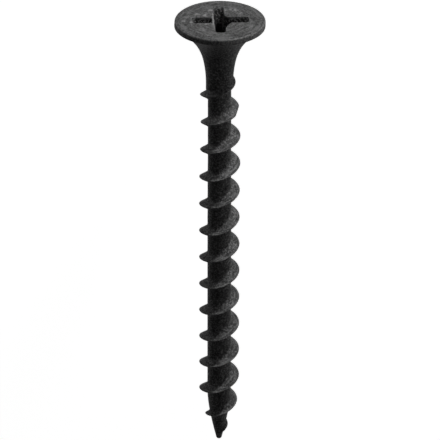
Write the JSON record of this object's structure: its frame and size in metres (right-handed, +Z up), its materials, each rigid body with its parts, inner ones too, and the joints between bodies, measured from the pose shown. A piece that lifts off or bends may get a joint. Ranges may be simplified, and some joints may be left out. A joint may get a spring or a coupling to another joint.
{
  "type": "drywall screw",
  "caption": "Coarse-thread drywall screw: bugle head with a cross recess, plain neck, right-handed thread and sharp point. Drives into timber by turning.",
  "frame": {"origin": "centre of the bounding box in X and Y, at the level of the surface that the screw lies on", "axes": "+Z up; the screw lies along X, with its head towards -X and its point towards +X and 3.3 degrees down, because the head is thicker than the thread"},
  "size_m": [0.0444, 0.0082, 0.0083],
  "materials": {
    "phosphated_steel": "matt black phosphate coating on carbon steel"
  },
  "bodies": {
    "root": {"screw": "phosphated_steel"}
  },
  "joints": []
}
